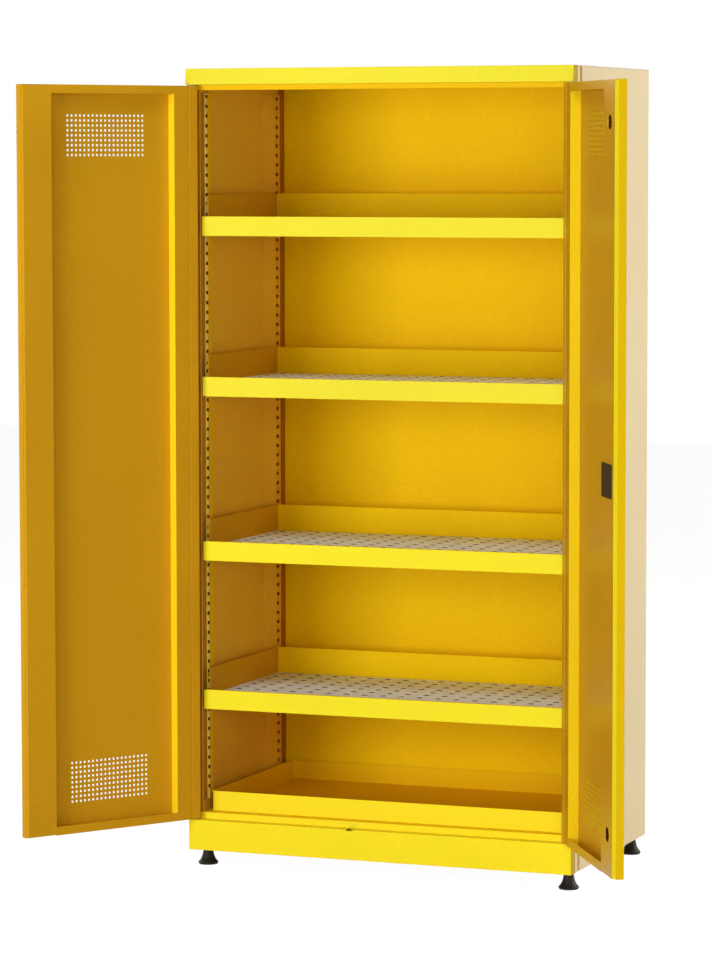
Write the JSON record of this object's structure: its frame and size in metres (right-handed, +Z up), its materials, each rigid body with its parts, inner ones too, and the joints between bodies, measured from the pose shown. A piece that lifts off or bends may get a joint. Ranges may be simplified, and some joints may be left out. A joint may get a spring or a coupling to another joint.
{
  "type": "chemical storage cabinet",
  "caption": "Tall steel cabinet with two vented swing doors on pivot pins, a rod lock, tray shelves with perforated lift-out inserts on slotted uprights, a sump tray and levelling feet.",
  "frame": {"origin": "middle of the underside of the base, level with the bottom of the side walls; the levelling feet reach 45 mm below it", "axes": "+Z up, +Y to the back, so the doors are at -Y; +X to the right as seen from the front"},
  "size_m": [1.5392, 1.0323, 2],
  "materials": {
    "yellow": "satin powder coat, fine grain",
    "beige": "satin powder coat, fine grain",
    "galvanised": "galvanised, fine spangle",
    "steel": "zinc plated",
    "black": "matt moulded, fine grain",
    "nylon": "moulded nylon"
  },
  "bodies": {
    "cabinet": {"side_panel_left": "beige", "side_liner_left": "yellow", "foot_rail_left": "yellow", "side_panel_right": "beige", "side_liner_right": "yellow", "foot_rail_right": "yellow", "back_panel": "beige", "back_liner": "yellow", "top_panel": "beige", "ceiling_liner": "yellow", "fascia": "yellow", "header_rail": "yellow", "plinth": "yellow", "sill_rail": "yellow", "base_tray": "yellow", "base_crossbar": "galvanised", "upright_front_left": "yellow", "upright_rear_left": "yellow", "pivot_pin_upper_left": "steel", "pivot_pin_lower_left": "steel", "upright_front_right": "yellow", "upright_rear_right": "yellow", "pivot_pin_upper_right": "steel", "pivot_pin_lower_right": "steel", "foot_front_left": "black", "foot_stud_front_left": "steel", "foot_front_right": "black", "foot_stud_front_right": "steel", "foot_rear_left": "black", "foot_stud_rear_left": "steel", "foot_rear_right": "black", "foot_stud_rear_right": "steel", "shelf_tray_1": "yellow", "shelf_tray_2": "yellow", "shelf_tray_3": "yellow", "shelf_tray_4": "yellow"},
    "door_left": {"door_pan_left": "yellow", "hinge_stile_left": "yellow", "free_stile_left": "yellow", "pivot_bush_upper_left": "nylon", "pivot_bush_lower_left": "nylon"},
    "door_right": {"door_pan_right": "yellow", "hinge_stile_right": "yellow", "lock_stile": "yellow", "pivot_bush_upper_right": "nylon", "pivot_bush_lower_right": "nylon", "lock_cover": "black", "escutcheon": "black", "rod_guide_upper": "nylon", "rod_guide_lower": "nylon"},
    "handle": {"turn_handle": "black", "lock_cam": "steel"},
    "key": {"key_plug": "steel"},
    "rod_upper": {"lock_rod_upper": "steel"},
    "rod_lower": {"lock_rod_lower": "steel"},
    "sump": {"sump_tray": "yellow"},
    "grid_1": {"shelf_grid_1": "galvanised"},
    "grid_2": {"shelf_grid_2": "galvanised"},
    "grid_3": {"shelf_grid_3": "galvanised"},
    "grid_4": {"shelf_grid_4": "galvanised"}
  },
  "joints": [
    {"name": "door_left_hinge", "type": "hinge", "parent": "cabinet", "child": "door_left", "pos_m": [-0.496, -0.296, 0.9955], "axis": [0, 0, -1], "range_deg": [-123, 0]},
    {"name": "door_right_hinge", "type": "hinge", "parent": "cabinet", "child": "door_right", "pos_m": [0.496, -0.296, 0.9955], "axis": [0, 0, 1], "range_deg": [-121.5, 1.5]},
    {"name": "handle_turn", "type": "hinge", "parent": "door_right", "child": "handle", "pos_m": [0.72172, -0.66434, 0.9955], "axis": [0.8526, 0.5225, 0], "range_deg": [-90, 0]},
    {"name": "key_turn", "type": "hinge", "parent": "handle", "child": "key", "pos_m": [0.72172, -0.66434, 0.9955], "axis": [0.8526, 0.5225, 0], "range_deg": [-90, 0]},
    {"name": "upper_rod_slide", "type": "slide", "parent": "door_right", "child": "rod_upper", "axis": [0, 0, 1], "range_m": [0, 0.0242]},
    {"name": "lower_rod_slide", "type": "slide", "parent": "door_right", "child": "rod_lower", "axis": [0, 0, -1], "range_m": [0, 0.0242]},
    {"name": "sump_slide", "type": "slide", "parent": "cabinet", "child": "sump", "axis": [0, -1, 0], "range_m": [0, 0.45]},
    {"name": "grid_1_lift", "type": "slide", "parent": "cabinet", "child": "grid_1", "axis": [0, 0, 1], "range_m": [0, 0.11]},
    {"name": "grid_2_lift", "type": "slide", "parent": "cabinet", "child": "grid_2", "axis": [0, 0, 1], "range_m": [0, 0.11]},
    {"name": "grid_3_lift", "type": "slide", "parent": "cabinet", "child": "grid_3", "axis": [0, 0, 1], "range_m": [0, 0.11]},
    {"name": "grid_4_lift", "type": "slide", "parent": "cabinet", "child": "grid_4", "axis": [0, 0, 1], "range_m": [0, 0.11]}
  ],
  "couplings": [
    {"joint": "upper_rod_slide", "follows": "handle_turn", "m_per_rad": -0.015305},
    {"joint": "lower_rod_slide", "follows": "handle_turn", "m_per_rad": -0.015305}
  ]
}
